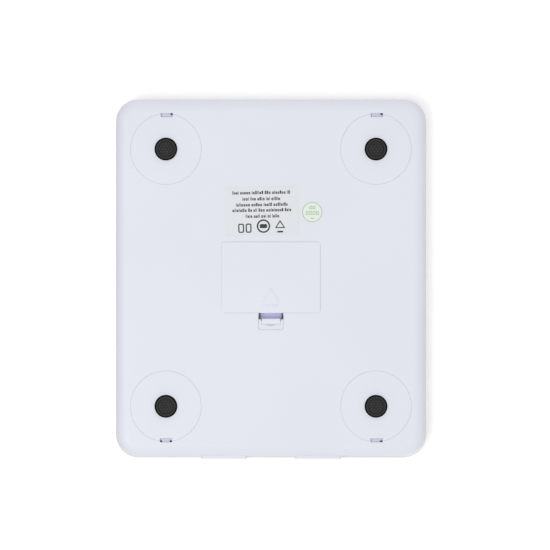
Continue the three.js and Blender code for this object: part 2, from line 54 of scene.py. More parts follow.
MM = 0.001
case_low, case_high = (Vector(corner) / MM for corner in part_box("bottom_case"))
CENTRE = Vector(((case_low.x + case_high.x) / 2, (case_low.y + case_high.y) / 2, 0))
CASE_WIDTH = case_high.x - case_low.x
CASE_DEPTH = case_high.y - case_low.y
CASE_CORNER = 12.2
CASE_FRONT = -CASE_DEPTH / 2
BASE_Z = 2.0                # underside of the case
FLOOR_TOP = 3.8             # inside of the case floor
SEAM_Z = 13.5               # top of the bottom case wall
EDGE_ROLL = 6.0
ROLL_REACH = 1.25           # the rolled edge reaches farther inward than upward
WALL = 2.0
OVERLAP = 0.5               # how far shapes reach into each other before they are joined or cut
BELOW = 1                   # under the case, where cutters start
BOSSES = [(x, y) for x in (-76, 76) for y in (-38, 38)]         # the case screws
BOSS_RADIUS = 3.2
BOSS_TOP = 14
PILOT_RADIUS = 1.4
SHANK_RADIUS = 1.5
HEAD_RADIUS = 2.9
POSTS = [(x, y) for x in (-31, 31) for y in (-60, -88)]         # what the main board stands on
POST_RADIUS = 2.5
POST_TOP = 6.7

DISC_RADIUS = 19.98
DISC_GAP = 0.045            # the line round each foot disc
DISC_LOW = 1.85
FLANGE_RADIUS = 21.6
FLANGE_LOW = 4.1
FLANGE_HIGH = 5.0
FLANGE_PLAY = 0.5
SEAT_RADIUS = FLANGE_RADIUS + 2
SEAT_TOP = 6.1
FOOT_TOP = 8                # clear of everything on a foot
SLOT_HALF = 3.4             # the slot at the rim of each disc, and the lug that fills it
SLOT_INNER = 18.1
SLOT_OUTER = 20.35
SLOT_OFFSETS = {"front_left": -0.3, "front_right": 0.0, "rear_left": -0.5, "rear_right": -0.5}
LUG_PLAY = 0.1
LUG_LOW = 3.0
LUG_HOLE = (1.25, 1.0)      # the open corner beside a lug
PAD_RADIUS = 6.4
HOLE_RADIUS = 6.42          # the opening in a disc through which its pad shows
PAD_WELL = 0.75             # depth of the sunken middle of a pad
SOLE_RADIUS = 5.55
SOLE_EDGE = 0.3
NUB_PITCH = 1.72
NUB_FIELD = 3.7             # the nubs fill a circle of this radius

DOOR_HALF = 27.85
DOOR_FRONT = -19.88
DOOR_REAR = 20.18
DOOR_MIDDLE = (DOOR_REAR + DOOR_FRONT) / 2
DOOR_CORNER = 1.4
DOOR_GAP = 0.07
DOOR_SHORT = 0.04           # the rear gap of the door is the widest
DOOR_OFFSET = 0.03          # the door lies a hair off the middle of its opening
DOOR_SEAT_Z = 4.1
ENGRAVING = 0.19            # depth of the lines cut into the door
HINGE_X = 15
HINGE_HALF = 3              # half the width of a hinge tab
HINGE_FRONT = 18.9
HINGE_BACK = 20.1
HINGE_TIP = 22.1
HINGE_LOW = 4.1
HINGE_HIGH = 5.1
TUB_HALF = 26.5
TUB_FRONT = -16.7
TUB_REAR = 17.1
TUB_TOP = 15.0
TUB_ROOF = 15.8
TUB_WALL = 1.5
LEDGE_REACH = 3.4
LEDGE_TOP = 5.5

RECESS_HALF = 7.35
RECESS_FRONT = -29.7
RECESS_DEPTH = 0.9
RECESS_DRAFT = 0.55         # how far the recess walls slope in
HOUSING_HALF = 8.8          # the box round the latch, inside the case
HOUSING_TOP = 11.4
HOUSING_WALL = 1.4
WELL_HALF = 6.9
WELL_NARROW = 5.28
WELL_STEP = -23.5
WELL_FRONT = -26.35
WELL_BACK = -18.4
WELL_LOW = 4.2
WELL_TOP = 10.2
WELL_UNDERCUT = 1.1
NICK = (0.5, 0.75)          # the small openings at the step of the latch's hollow
NAIL_NOTCH_Y = -23.2
NAIL_NOTCH_RADIUS = 4.1
NAIL_NOTCH_TOP = 3.5
ARCH_Y = -21.67
ARCH_HALF = 5.95
ARCH_Z = 6.5
ARCH_INNER = 1.65
ARCH_THICK = 1.1
ARCH_LAP = 0.02
LATCH_HALF = 5.2
LATCH_GAP = 0.08
LEG_SLOPE = 0.45            # how far the latch's leg leans into the hollow

CELL_RADIUS = 5.22
CELL_HALF = 22.25
CELL_ROWS = (("front", 1), ("middle", -1), ("rear", 1))         # name, and the way its positive end faces
SPRING_TURNS = 3.2
SPRING_WIRE = 0.28
SPRING_BASE_X = 25.5
SPRING_LENGTH = 2.35
SPRING_RADIUS = 3.4
SPRING_TAPER = 1.4

TOP_LOW = SEAM_Z + 0.3
TOP_INSIDE = 16.1
TOP_HIGH = 17.3
TOP_BOSS_RADIUS = 3.6
TOP_BOSS_LOW = 14.3
HEAD_SEAT_Z = 15.6
ABOVE = 18                  # over the top case, where cutters end
LIP_TOP = 16.6
LIP_INSETS = (2.3, 3.5)
LIP_DROP = 1.2              # how far the top case's lip reaches into the bottom case
LIP_NOTCH = (42, 6, 14.5)   # room for the buttons: half width, depth, height
DISPLAY_OPENING = (-31.6, 31.6, -89.1, -58.4)

BUTTON_CROWN = 0.22
BUTTON_X = 26.7
BUTTON_WIDTH = 26.1
BUTTON_HEIGHT = 3.6
BUTTON_Z = 10.8
BUTTON_PLAY = 0.25
BUTTON_FLANGE = (1, 2.6)    # past the cap to each side, and half its height
CAP_BACK = CASE_FRONT + 2.8
FLANGE_FRONT = CASE_FRONT + 2.3
FLANGE_BACK = CASE_FRONT + 3.3

GLASS_LOW = 18.0
GLASS_CORNER = 13
GLASS_LIP = 0.25            # the ground front edge of the glass stands a little proud
PRINT_INSET = 0.05
PRINT_BACK = GLASS_LOW - 0.1    # where the white print ends and its grey backing starts
PRINT_BITE = 0.02           # the print is baked into the glass, so it reaches just inside it
WINDOW_Y = -74.0
WINDOW_SIZE = (60, 26)
WINDOW_CORNER = 2.5
VIEW_SIZE = (52, 20)        # the clear part of the display window
DIGIT_HALF_HEIGHT = 6.0
DIGIT_HALF_WIDTH = 3.1
DIGIT_STROKE = 1.15
DIGIT_START = -15.5
DIGIT_PITCH = 10.3
SEGMENT_GAP = 0.75
SEGMENT_RISE = 0.02

TEXT_TALL = 1.9
TEXT_SMALL = 1.35
TEXT_STROKE = 0.42
BAR_WIDTH = 0.3
BAR_SHARE = 0.3             # how many of the marks are bars
MARK_GAP = 0.27
WORD_GAP = 0.6
INK_BULGE = 0.012
INK_SINK = 0.05
FILM_TOP = 1.985
LABEL_LOW = 1.86
LABEL_SIZE = (41.3, 27.1)
LABEL_LINES = ((10.4, 33.0), (6.9, 21.6), (3.6, 28.8), (0.5, 33.1), (-2.9, 18.2))       # y and width
LABEL_TILT = -1             # degrees, as it was stuck on
STICKER_LOW = 1.87
STICKER_RADIUS = 5.7

SIDES = (("left", -1), ("right", 1))


def centre_of(node):
    """The middle of a CAD node, in millimetres in the case's frame."""
    low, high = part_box(node)
    return (Vector(low) + Vector(high)) / 2 / MM - CENTRE


# ---------- shape helpers ----------

WELD = 0.0005               # millimetres: corners closer than this are one
FLATNESS = 0.3              # degrees: faces flatter than this are one
BEVEL_ANGLE = 40
SMOOTH_ANGLE = 50


def rounded_outline(width, depth, radius, steps=12, x=0.0, y=0.0):
    points = []
    for quarter, (side_x, side_y) in enumerate(((1, 1), (-1, 1), (-1, -1), (1, -1))):
        corner_x = x + side_x * (width / 2 - radius)
        corner_y = y + side_y * (depth / 2 - radius)
        for step in range(steps + 1):
            angle = math.pi / 2 * (quarter + step / steps)
            points.append((corner_x + radius * math.cos(angle), corner_y + radius * math.sin(angle)))
    return points


def circle_outline(radius, steps, x=0.0, y=0.0):
    turn = 2 * math.pi / steps
    return [(x + radius * math.cos(i * turn), y + radius * math.sin(i * turn)) for i in range(steps)]


def arc(centre_x, centre_y, radius, start, end, steps):
    """Points on an arc, angles in degrees."""
    angles = [math.radians(start + (end - start) * i / steps) for i in range(steps + 1)]
    return [(centre_x + radius * math.cos(a), centre_y + radius * math.sin(a)) for a in angles]


def to_object(bm, name="shape"):
    mesh = bpy.data.meshes.new(name)
    bm.to_mesh(mesh)
    bm.free()
    obj = bpy.data.objects.new(name, mesh)
    bpy.context.scene.collection.objects.link(obj)
    return obj


def loft(rings):
    """A closed solid through rings of (x, y, z) points, which all have the same number of points."""
    bm = bmesh.new()
    rows = [[bm.verts.new(point) for point in ring] for ring in rings]
    count = len(rows[0])
    for low, high in zip(rows, rows[1:]):
        for i in range(count):
            j = (i + 1) % count
            bm.faces.new((low[i], low[j], high[j], high[i]))
    bm.faces.new(list(reversed(rows[0])))
    bm.faces.new(rows[-1])
    bmesh.ops.recalc_face_normals(bm, faces=bm.faces)
    return to_object(bm)


def prism(outline, z0, z1):
    return loft([[(x, y, z) for x, y in outline] for z in (z0, z1)])


def block(x0, x1, y0, y1, z0, z1):
    return prism([(x0, y0), (x1, y0), (x1, y1), (x0, y1)], z0, z1)


def drum(x, y, radius, z0, z1, steps=48):
    return prism(circle_outline(radius, steps, x, y), z0, z1)


def along_x(outline, x0, x1):
    """Extrudes an outline drawn in (y, z) along X."""
    return loft([[(x, y, z) for y, z in outline] for x in (x0, x1)])


def along_y(outline, y0, y1):
    """Extrudes an outline drawn in (x, z) along Y."""
    return loft([[(x, y, z) for x, z in outline] for y in (y0, y1)])


def turned(profile, steps, x=0.0, y=0.0):
    """Turns a (radius, z) profile that starts and ends on an upright axis, at radius 0."""
    bm = bmesh.new()
    columns = []
    for radius, z in profile:
        if radius == 0:
            columns.append([bm.verts.new((x, y, z))] * steps)
        else:
            ring = circle_outline(radius, steps, x, y)
            columns.append([bm.verts.new((px, py, z)) for px, py in ring])
    for low, high in zip(columns, columns[1:]):
        for i in range(steps):
            j = (i + 1) % steps
            corners = []
            for vert in (low[i], low[j], high[j], high[i]):
                if vert not in corners:
                    corners.append(vert)
            if len(corners) > 2:
                bm.faces.new(corners)
    bmesh.ops.recalc_face_normals(bm, faces=bm.faces)
    return to_object(bm)


def case_outline(inset):
    return rounded_outline(CASE_WIDTH - 2 * inset, CASE_DEPTH - 2 * inset, CASE_CORNER - inset, 16)


def tray(inset, z0, z1, roll, steps=14):
    """The case's outline as a block whose lower edge is rolled."""
    rings = []
    for step in range(steps + 1):
        angle = math.pi / 2 * step / steps
        inward = inset + ROLL_REACH * roll * (1 - math.sin(angle))
        z = z0 + roll * (1 - math.cos(angle))
        rings.append([(x, y, z) for x, y in case_outline(inward)])
    rings.append([(x, y, z1) for x, y, _ in rings[-1]])
    return loft(rings)


def apply_modifiers(obj):
    depsgraph = bpy.context.evaluated_depsgraph_get()
    mesh = bpy.data.meshes.new_from_object(obj.evaluated_get(depsgraph))
    obj.modifiers.clear()
    obj.data = mesh
    return obj


def combine(target, tools, operation):
    for tool in tools:
        modifier = target.modifiers.new("combine", "BOOLEAN")
        modifier.object = tool
        modifier.operation = operation
        modifier.solver = "MANIFOLD"
    apply_modifiers(target)
    for tool in tools:
        bpy.data.objects.remove(tool)
    return target


def join(target, *tools):
    return combine(target, tools, "UNION")


def cut(target, *tools):
    return combine(target, tools, "DIFFERENCE")


def gather(shapes):
    """Puts the meshes of several objects into the first of them, as separate shells."""
    target, *others = shapes
    bm = bmesh.new()
    for obj in shapes:
        bm.from_mesh(obj.data)
    bm.to_mesh(target.data)
    bm.free()
    for obj in others:
        bpy.data.objects.remove(obj)
    return target


def soften(obj, width, segments=2):
    """Rounds the edges and gives the faces even normals."""
    bm = bmesh.new()
    bm.from_mesh(obj.data)
    bmesh.ops.remove_doubles(bm, verts=bm.verts, dist=WELD)
    bmesh.ops.dissolve_limit(bm, angle_limit=math.radians(FLATNESS), verts=bm.verts, edges=bm.edges)
    bm.to_mesh(obj.data)
    bm.free()
    if width:
        bevel = obj.modifiers.new("soften", "BEVEL")
        bevel.width = width
        bevel.segments = segments
        bevel.limit_method = "ANGLE"
        bevel.angle_limit = math.radians(BEVEL_ANGLE)
    apply_modifiers(obj)
    mesh = obj.data
    mesh.polygons.foreach_set("use_smooth", [True] * len(mesh.polygons))
    mesh.set_sharp_from_angle(angle=math.radians(SMOOTH_ANGLE))
    normals = obj.modifiers.new("normals", "WEIGHTED_NORMAL")
    normals.keep_sharp = True
    return apply_modifiers(obj)


def finish_piece(obj, name, body, material, replaces=()):
    """Turns a drawn shape into a piece: metres, row frame, name, body and material, and hides the CAD nodes
    it replaces.
    """
    obj.data.transform(Matrix.Scale(MM, 4) @ Matrix.Translation(CENTRE))
    obj.name = name
    obj.data.name = name
    obj.data.materials.clear()
    obj.data.materials.append(material)
    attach(obj, body)
    if replaces:
        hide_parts(*replaces)


# ---------- materials ----------

def new_material(name):
    material = bpy.data.materials.new(name)
    material.use_nodes = True
    tree = material.node_tree
    return material, tree, tree.nodes["Principled BSDF"]


def set_input(socket, value):
    """Gives an input a plain value, or links it to the output of another node."""
    if isinstance(value, bpy.types.NodeSocket):
        socket.id_data.links.new(value, socket)
    else:
        socket.default_value = value


def feed(node, **inputs):
    """Sets inputs of a node by their names, which are written in lower case with underscores."""
    for name, value in inputs.items():
        set_input(node.inputs[name.replace("_", " ").title()], value)


def new_node(tree, kind, **inputs):
    node = tree.nodes.new(f"ShaderNode{kind}")
    feed(node, **inputs)
    return node


def object_place(tree):
    return new_node(tree, "TexCoord").outputs["Object"]


def noise(tree, scale, detail=2.0, roughness=0.5):
    texture = new_node(tree, "TexNoise", scale=scale, detail=detail, roughness=roughness)
    feed(texture, vector=object_place(tree))
    return texture.outputs["Fac"]


def ramp(tree, source, stops, interpolation="LINEAR"):
    """Turns a 0 to 1 value into colours: stops is a list of (place, colour)."""
    node = new_node(tree, "ValToRGB", fac=source)
    node.color_ramp.interpolation = interpolation
    elements = node.color_ramp.elements
    while len(elements) < len(stops):
        elements.new(0.5)
    for element, (place, color) in zip(elements, stops):
        element.position = place
        element.color = (*color, 1.0)
    return node.outputs["Color"]


def spread(tree, source, low, high):
    """Maps a 0 to 1 value to a range."""
    return new_node(tree, "MapRange", value=source, to_min=low, to_max=high).outputs["Result"]


def calculate(tree, operation, *terms):
    """A math node. Each term is a number or the output of another node."""
    node = new_node(tree, "Math")
    node.operation = operation
    for socket, term in zip(node.inputs, terms):
        set_input(socket, term)
    return node.outputs["Value"]


def mix_colors(tree, factor, first, second):
    """Mixes two colours. The first may be the output of another node."""
    mix = new_node(tree, "Mix")
    mix.data_type = "RGBA"
    feed(mix, factor=factor, a=first, b=(*second, 1))
    return mix.outputs["Result"]


def mix_shaders(tree, factor, first, second):
    mix = new_node(tree, "MixShader", fac=factor)
    set_input(mix.inputs[1], first.outputs[0])
    set_input(mix.inputs[2], second.outputs[0])
    return mix.outputs["Shader"]


def bump(tree, shader, source, strength, height):
    """Dents the surface by a value, up to a height in millimetres."""
    node = new_node(tree, "Bump", height=source, strength=strength, distance=height * MM)
    feed(shader, normal=node.outputs["Normal"])


def shade(color, factor):
    return tuple(channel * factor for channel in color)


def edge_wear(tree, color, worn_color):
    """Blends towards a second colour along the convex edges, in broken patches."""
    sharpness = new_node(tree, "NewGeometry").outputs["Pointiness"]
    rim = new_node(tree, "MapRange", value=sharpness, from_min=0.52, from_max=0.62).outputs["Result"]
    patches = calculate(tree, "MULTIPLY", rim, noise(tree, 420, 3, 0.6))
    return mix_colors(tree, patches, color, worn_color)


def moulded(name, color, roughness=(0.38, 0.5), grain=2600, grain_height=0.012, blotch=0.015):
    """Moulded plastic: a fine eroded grain, slow changes of tone, and uneven gloss.

    Grain is how fine its grain is, grain_height is in millimetres, and blotch is how much its tone changes.
    """
    material, tree, shader = new_material(name)
    stops = [(0.3, shade(color, 1 - blotch)), (0.7, shade(color, 1 + blotch))]
    gloss = noise(tree, 160, 4, 0.6)
    feed(shader, base_color=ramp(tree, noise(tree, 14, 3), stops), roughness=spread(tree, gloss, *roughness))
    bump(tree, shader, noise(tree, grain, 3, 0.6), 0.35, grain_height)
    return material


def metal(name, color, roughness=(0.25, 0.4), scratch=900):
    """Rolled metal with fine drawn lines, a little staining and brighter edges."""
    material, tree, shader = new_material(name)
    tone = noise(tree, 220, 5, 0.65)
    stained = ramp(tree, tone, [(0.3, shade(color, 0.86)), (0.7, color)])
    stretch = new_node(tree, "Mapping", vector=object_place(tree), scale=(1.0, 0.05, 1.0))
    lines = new_node(tree, "TexNoise", vector=stretch.outputs["Vector"], scale=scratch * 4).outputs["Fac"]
    feed(shader, metallic=1.0, base_color=edge_wear(tree, stained, shade(color, 1.25)),
         roughness=spread(tree, lines, *roughness))
    bump(tree, shader, lines, 0.2, 0.01)
    return material


def rubber(name, tone, shine):
    """Black rubber: matt, with a chalky bloom in its fine pores and rubbed edges."""
    material, tree, shader = new_material(name)
    shader.inputs["Specular IOR Level"].default_value = shine
    bloom = ramp(tree, noise(tree, 700, 5, 0.7), [(0.35, shade(tone, 0.7)), (0.75, shade(tone, 1.35))])
    feed(shader, base_color=edge_wear(tree, bloom, shade(tone, 2.2)),
         roughness=spread(tree, noise(tree, 1500, 3), 0.5, 0.75))
    bump(tree, shader, noise(tree, 3500, 3, 0.6), 0.5, 0.03)
    return material


def glass(name):
    """Clear float glass with faint greasy marks."""
    material, tree, shader = new_material(name)
    shader.inputs["IOR"].default_value = 1.5
    feed(shader, base_color=(0.962, 0.988, 0.978, 1), transmission_weight=1.0,
         roughness=spread(tree, noise(tree, 60, 6, 0.65), 0.0, 0.09))
    return material


def board_green(name):
    """Solder mask with copper tracks that show faintly through it."""
    material, tree, shader = new_material(name)
    tracks = new_node(tree, "TexBrick", vector=object_place(tree), scale=260, mortar_size=0.03,
                      color1=(0.012, 0.11, 0.035, 1), color2=(0.015, 0.13, 0.045, 1),
                      mortar=(0.04, 0.22, 0.08, 1))
    feed(shader, base_color=tracks.outputs["Color"], roughness=spread(tree, noise(tree, 400), 0.25, 0.4))
    bump(tree, shader, tracks.outputs["Fac"], 0.2, 0.02)
    return material


def cell_jacket(name, start_x, end_x):
    """A plain two-tone cell sleeve: a coloured band at the positive end, grey steel at both rims."""
    material, tree, shader = new_material(name)
    place_x = new_node(tree, "SeparateXYZ", vector=object_place(tree)).outputs["X"]
    along = new_node(tree, "MapRange", value=place_x, from_min=start_x, from_max=end_x).outputs["Result"]
    steel = (0.55, 0.55, 0.56)
    stops = [(0.0, steel), (0.012, (0.03, 0.035, 0.045)), (0.68, (0.62, 0.33, 0.1)), (0.955, steel)]
    feed(shader, metallic=0.35, base_color=ramp(tree, along, stops, "CONSTANT"),
         roughness=spread(tree, noise(tree, 300, 4), 0.2, 0.38))
    bump(tree, shader, noise(tree, 180, 2), 0.1, 0.05)
    return material


WHITE = (0.708, 0.739, 0.79)
case_plastic = moulded("case_plastic", WHITE)
# The buttons' plastic is painted light: the case's white made brighter, to offset the shade under the case's
# rolled edge.
button_plastic_painted_light = moulded("button_plastic_painted_light", (0.80, 0.775, 0.84))
door_plastic = moulded("door_plastic", shade(WHITE, 1.004), grain=2400)
# The arch plastic is painted shade: the white plastic tinted lavender, the colour the shade in the latch's
# hollow has.
arch_painted_shade_plastic = moulded("arch_painted_shade_plastic", (0.74, 0.73, 0.94))
# The lug plastic is painted shade: the case's white made darker and lavender, as the lugs look down in their
# slots.
lug_painted_shade_plastic = moulded("lug_painted_shade_plastic", (0.6, 0.6, 0.74))
carrier_plastic = moulded("carrier_plastic", (0.76, 0.77, 0.8), grain=1500)
pad_rubber = rubber("pad_rubber", (0.0105, 0.0105, 0.0112), 0.4)
nub_rubber = rubber("nub_rubber", (0.034, 0.034, 0.034), 0.4)
# The next rubber is painted shade: near-black, for the ring round each pad, where there is only the gap's
# shadow.
painted_shade_rubber = rubber("painted_shade_rubber", (0.004, 0.004, 0.006), 0.1)
platform_glass = glass("platform_glass")
print_grey = moulded("print_grey", (0.77, 0.765, 0.755), (0.6, 0.8), 900, 0.004, 0.02)
print_white = moulded("print_white", (0.9, 0.9, 0.895), (0.3, 0.4), 900, 0.004, 0.006)
print_black = moulded("print_black", (0.012, 0.012, 0.013), (0.3, 0.4), 900, 0.004, 0.1)
tape_foam = moulded("tape_foam", (0.6, 0.58, 0.52), (0.7, 0.9), 1200, 0.03, 0.05)
lcd_front = moulded("lcd_front", (0.2, 0.225, 0.205), (0.12, 0.2), 700, 0.002, 0.04)
lcd_ghost = moulded("lcd_ghost", (0.165, 0.187, 0.17), (0.12, 0.2), 700, 0.002, 0.04)
backlight_white = moulded("backlight_white", (0.8, 0.82, 0.84), (0.3, 0.45), 1200)
black_plastic = moulded("black_plastic", (0.018, 0.018, 0.02), (0.35, 0.55), 1800, 0.02, 0.2)
black_resin = moulded("black_resin", (0.009, 0.009, 0.01), (0.1, 0.35), 260, 0.1, 0.2)
label_paper = moulded("label_paper", (0.70, 0.728, 0.75), (0.45, 0.6), 3200, 0.006, 0.012)
label_ink = moulded("label_ink", (0.02, 0.021, 0.024), (0.4, 0.6), 2600, 0.004, 0.3)
sticker_film = moulded("sticker_film", (0.735, 0.795, 0.745), (0.25, 0.4), 1800, 0.004, 0.02)
sticker_ink = moulded("sticker_ink", (0.25, 0.47, 0.19), (0.3, 0.45), 1800, 0.004, 0.06)
screw_steel = metal("screw_steel", (0.6, 0.61, 0.62))
cell_steel = metal("cell_steel", (0.5, 0.5, 0.51), (0.3, 0.5))
contact_nickel = metal("contact_nickel", (0.72, 0.71, 0.67), (0.15, 0.3))
shield_steel = metal("shield_steel", (0.62, 0.63, 0.64), (0.25, 0.4), 500)
board_laminate = board_green("board_laminate")
wire_white = moulded("wire_white", (0.72, 0.72, 0.72), (0.4, 0.55), 1500)
wire_red = moulded("wire_red", (0.42, 0.02, 0.02), (0.4, 0.55), 1500, 0.02, 0.1)
wire_black = moulded("wire_black", (0.015, 0.015, 0.015), (0.4, 0.55), 1500, 0.02, 0.2)

# ---------- case ----------

FEET = []
for row, outward in (("front", -1), ("rear", 1)):
    for side, sign in SIDES:
        FEET.append((f"{row}_{side}", centre_of(f"foot_pad_{row}_{side}"), outward))


def battery_tub_block():
    low = FLOOR_TOP - OVERLAP
    half = TUB_HALF + TUB_WALL
    walls = block(-half, half, TUB_FRONT - HOUSING_WALL, TUB_REAR + TUB_WALL, low, TUB_ROOF)
    half = TUB_HALF + LEDGE_REACH
    ledge = block(-half, half, DOOR_FRONT - HOUSING_WALL, DOOR_REAR + HOUSING_WALL, low, LEDGE_TOP)
    return [walls, ledge]


def recess_cutter():
    """The shallow finger recess by the latch, with sloping walls."""
    depth = DOOR_FRONT - RECESS_FRONT
    middle = RECESS_FRONT + depth / 2
    mouth = rounded_outline(2 * RECESS_HALF, depth, 1.6, 8, 0, middle)
    narrow = 2 * (RECESS_HALF - RECESS_DRAFT)
    floor = rounded_outline(narrow, depth - RECESS_DRAFT, 1.2, 8, 0, middle + RECESS_DRAFT / 2)
    rings = [(mouth, 0.0), (mouth, BASE_Z), (floor, BASE_Z + RECESS_DEPTH)]
    return loft([[(x, y, z) for x, y in outline] for outline, z in rings])


def well_cutters():
    """The deep hollow in which the latch moves, with its step, its nicks and the notch for a fingernail."""
    cutters = [
        block(-WELL_HALF, WELL_HALF, WELL_FRONT - WELL_UNDERCUT, WELL_BACK, WELL_LOW, WELL_TOP),
        block(-WELL_HALF, WELL_HALF, WELL_STEP, WELL_BACK, BELOW, WELL_TOP),
        block(-WELL_NARROW, WELL_NARROW, WELL_FRONT, WELL_STEP + 1, BELOW, WELL_TOP),
        drum(0, NAIL_NOTCH_Y, NAIL_NOTCH_RADIUS, BELOW, NAIL_NOTCH_TOP, 64),
    ]
    nick_wide, nick_deep = NICK
    for _, sign in SIDES:
        ends = sorted((sign * (WELL_NARROW - 0.1), sign * (WELL_NARROW + nick_wide)))
        cutters.append(block(*ends, WELL_STEP - nick_deep, WELL_STEP + 0.1, BELOW, WELL_LOW + OVERLAP))
    return cutters


def hole_cutter(foot):
    return drum(foot.x, foot.y, DISC_RADIUS + DISC_GAP, 0, FLOOR_TOP + OVERLAP, 144)


def slot_cutter(name, foot, outward, z1):
    """The slot at a disc's rim, as a cutter."""
    ends = sorted((foot.y + outward * SLOT_INNER, foot.y + outward * SLOT_OUTER))
    x = foot.x + SLOT_OFFSETS[name]
    return prism(rounded_outline(2 * SLOT_HALF, ends[1] - ends[0], 0.2, 4, x, sum(ends) / 2), 0, z1)


def make_lug(name, foot, outward):
    """The case's lug that stands in the slot and leaves small holes at its outer corners."""
    x = foot.x + SLOT_OFFSETS[name]
    half = SLOT_HALF - LUG_PLAY
    ends = sorted((foot.y + outward * (SLOT_INNER + LUG_PLAY), foot.y + outward * (DISC_RADIUS + 1)))
    lug = block(x - half, x + half, *ends, LUG_LOW, FLOOR_TOP - 0.05)
    wide, deep = LUG_HOLE
    hole = sorted((foot.y + outward * (SLOT_OUTER - deep), foot.y + outward * 25))
    holes = [block(x - half - 1, x - half + wide, *hole, 0, FOOT_TOP)]
    if name == "front_right":   # the only one with an open corner on both sides
        holes.append(block(x + half - wide * 0.8, x + half + 1, *hole, 0, FOOT_TOP))
    cut(lug, *holes)
    soften(lug, 0.12)
    # The lug's darker lavender colour is painted shade for the slot it stands in.
    finish_piece(lug, f"lug_{name}", "base", lug_painted_shade_plastic)


def button_outline(x, clearance=0.0):
    height = BUTTON_HEIGHT + 2 * clearance
    return rounded_outline(BUTTON_WIDTH + 2 * clearance, height, height / 2 - 0.02, 10, x, BUTTON_Z)


def case_additions():
    """What stands on the floor of the bottom case."""
    low = FLOOR_TOP - OVERLAP
    shapes = battery_tub_block()
    shapes.append(block(-HOUSING_HALF, HOUSING_HALF, RECESS_FRONT - HOUSING_WALL, TUB_FRONT,
                        BASE_Z + RECESS_DEPTH + 0.3, HOUSING_TOP))
    for _, foot, _ in FEET:
        shapes.append(drum(foot.x, foot.y, SEAT_RADIUS, low, SEAT_TOP, 96))
    for x, y in BOSSES:
        shapes.append(drum(x, y, BOSS_RADIUS, low, BOSS_TOP, 32))
    for x, y in POSTS:
        shapes.append(drum(x, y, POST_RADIUS, low, POST_TOP, 32))
    return shapes


def case_cutters():
    """Every opening in the bottom case."""
    wide, deep = 2 * (DOOR_HALF + DOOR_GAP), DOOR_REAR - DOOR_FRONT + 2 * DOOR_GAP
    cutters = [
        block(-TUB_HALF, TUB_HALF, TUB_FRONT, TUB_REAR, 0, TUB_TOP),
        prism(rounded_outline(wide, deep, DOOR_CORNER + 0.2, 8, 0, DOOR_MIDDLE), 0, DOOR_SEAT_Z),
        recess_cutter(),
        *well_cutters(),
    ]
    for name, foot, outward in FEET:
        cutters.append(drum(foot.x, foot.y, FLANGE_RADIUS + FLANGE_PLAY, FLOOR_TOP, FOOT_TOP, 96))
        cutters.append(hole_cutter(foot))
        cutters.append(slot_cutter(name, foot, outward, FLOOR_TOP + OVERLAP))
    for x, y in BOSSES:
        cutters.append(drum(x, y, PILOT_RADIUS, 6, BOSS_TOP + 1, 24))
    for _, sign in SIDES:
        x = sign * HINGE_X
        half = HINGE_HALF + 0.4
        cutters.append(block(x - half, x + half, TUB_REAR - OVERLAP, DOOR_REAR + 3, FLOOR_TOP, 6.8))
        outline = button_outline(sign * BUTTON_X, BUTTON_PLAY)
        cutters.append(along_y(outline, CASE_FRONT - 1, CASE_FRONT + WALL + OVERLAP))
    return cutters


def make_bottom_case():
    shell = cut(tray(0, BASE_Z, SEAM_Z, EDGE_ROLL), tray(WALL, FLOOR_TOP, SEAM_Z + 1, EDGE_ROLL - WALL))
    join(shell, *case_additions())
    cut(shell, *case_cutters())
    soften(shell, 0.06)
    finish_piece(shell, "bottom_case_shell", "base", case_plastic, ["bottom_case"])


def make_top_case():
    outer_inset, inner_inset = LIP_INSETS
    notch_half, notch_depth, notch_top = LIP_NOTCH
    shell = cut(prism(case_outline(0), TOP_LOW, TOP_HIGH), prism(case_outline(WALL), SEAM_Z, TOP_INSIDE))
    lip = cut(prism(case_outline(outer_inset), SEAM_Z - LIP_DROP, LIP_TOP),
              prism(case_outline(inner_inset), SEAM_Z - 2, TOP_INSIDE))
    cut(lip, block(-notch_half, notch_half, CASE_FRONT, CASE_FRONT + notch_depth, 0, notch_top))
    bosses = []
    holes = [block(*DISPLAY_OPENING, BOSS_TOP, ABOVE)]
    for x, y in BOSSES:
        bosses.append(drum(x, y, TOP_BOSS_RADIUS, TOP_BOSS_LOW, LIP_TOP, 32))
        holes.append(drum(x, y, SHANK_RADIUS, BOSS_TOP, ABOVE, 24))
        holes.append(drum(x, y, HEAD_RADIUS, HEAD_SEAT_Z, ABOVE, 32))
    join(shell, lip, *bosses)
    cut(shell, *holes)
    soften(shell, 0.12)
    finish_piece(shell, "top_case_shell", "base", case_plastic, ["top_case"])


# ---------- platform ----------

def window_outline(size, margin, radius, steps=8):
    wide, deep = size
    return rounded_outline(wide - margin, deep - margin, radius, steps, 0, WINDOW_Y)


